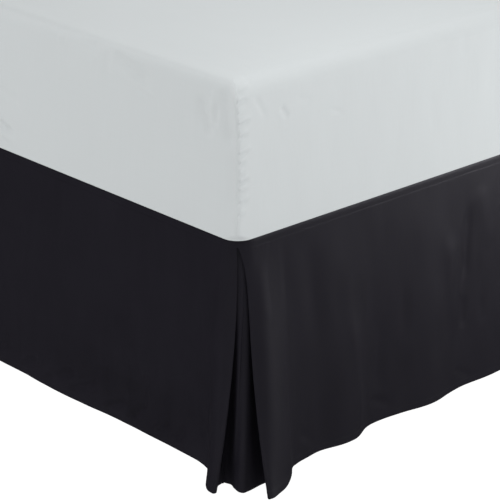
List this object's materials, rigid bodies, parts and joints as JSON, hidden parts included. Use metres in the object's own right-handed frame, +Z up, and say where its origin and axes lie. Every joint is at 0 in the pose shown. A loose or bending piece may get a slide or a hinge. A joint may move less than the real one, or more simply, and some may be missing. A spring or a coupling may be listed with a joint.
{
  "type": "bed skirt on a mattress and box spring",
  "caption": "Plain tailored bed skirt hung from its deck between mattress and box spring, with an open inverted pleat at each foot corner, on a steel bed frame.",
  "frame": {"origin": "on the floor, under the centre of the whole object's box", "axes": "+Z up, +Y from the foot of the bed to its head, +X to the right seen from the foot"},
  "size_m": [1.6369, 2.1168, 0.6703],
  "materials": {
    "skirt": "matt brushed microfibre, near black with a faint violet cast",
    "sheet": "matt pale grey fitted sheet",
    "ticking": "matt plain ticking",
    "steel": "dark powder coat"
  },
  "bodies": {
    "root": {"deck": "skirt", "drop_left": "skirt", "drop_right": "skirt", "drop_foot": "skirt", "insert_left": "skirt", "insert_right": "skirt", "mattress": "sheet", "box_spring": "ticking", "rail_left": "steel", "rail_right": "steel", "cross_rail_foot": "steel", "cross_rail_middle": "steel", "cross_rail_head": "steel", "leg_foot_left": "steel", "leg_foot_right": "steel", "leg_middle_left": "steel", "leg_middle_right": "steel", "leg_head_left": "steel", "leg_head_right": "steel"}
  },
  "joints": []
}
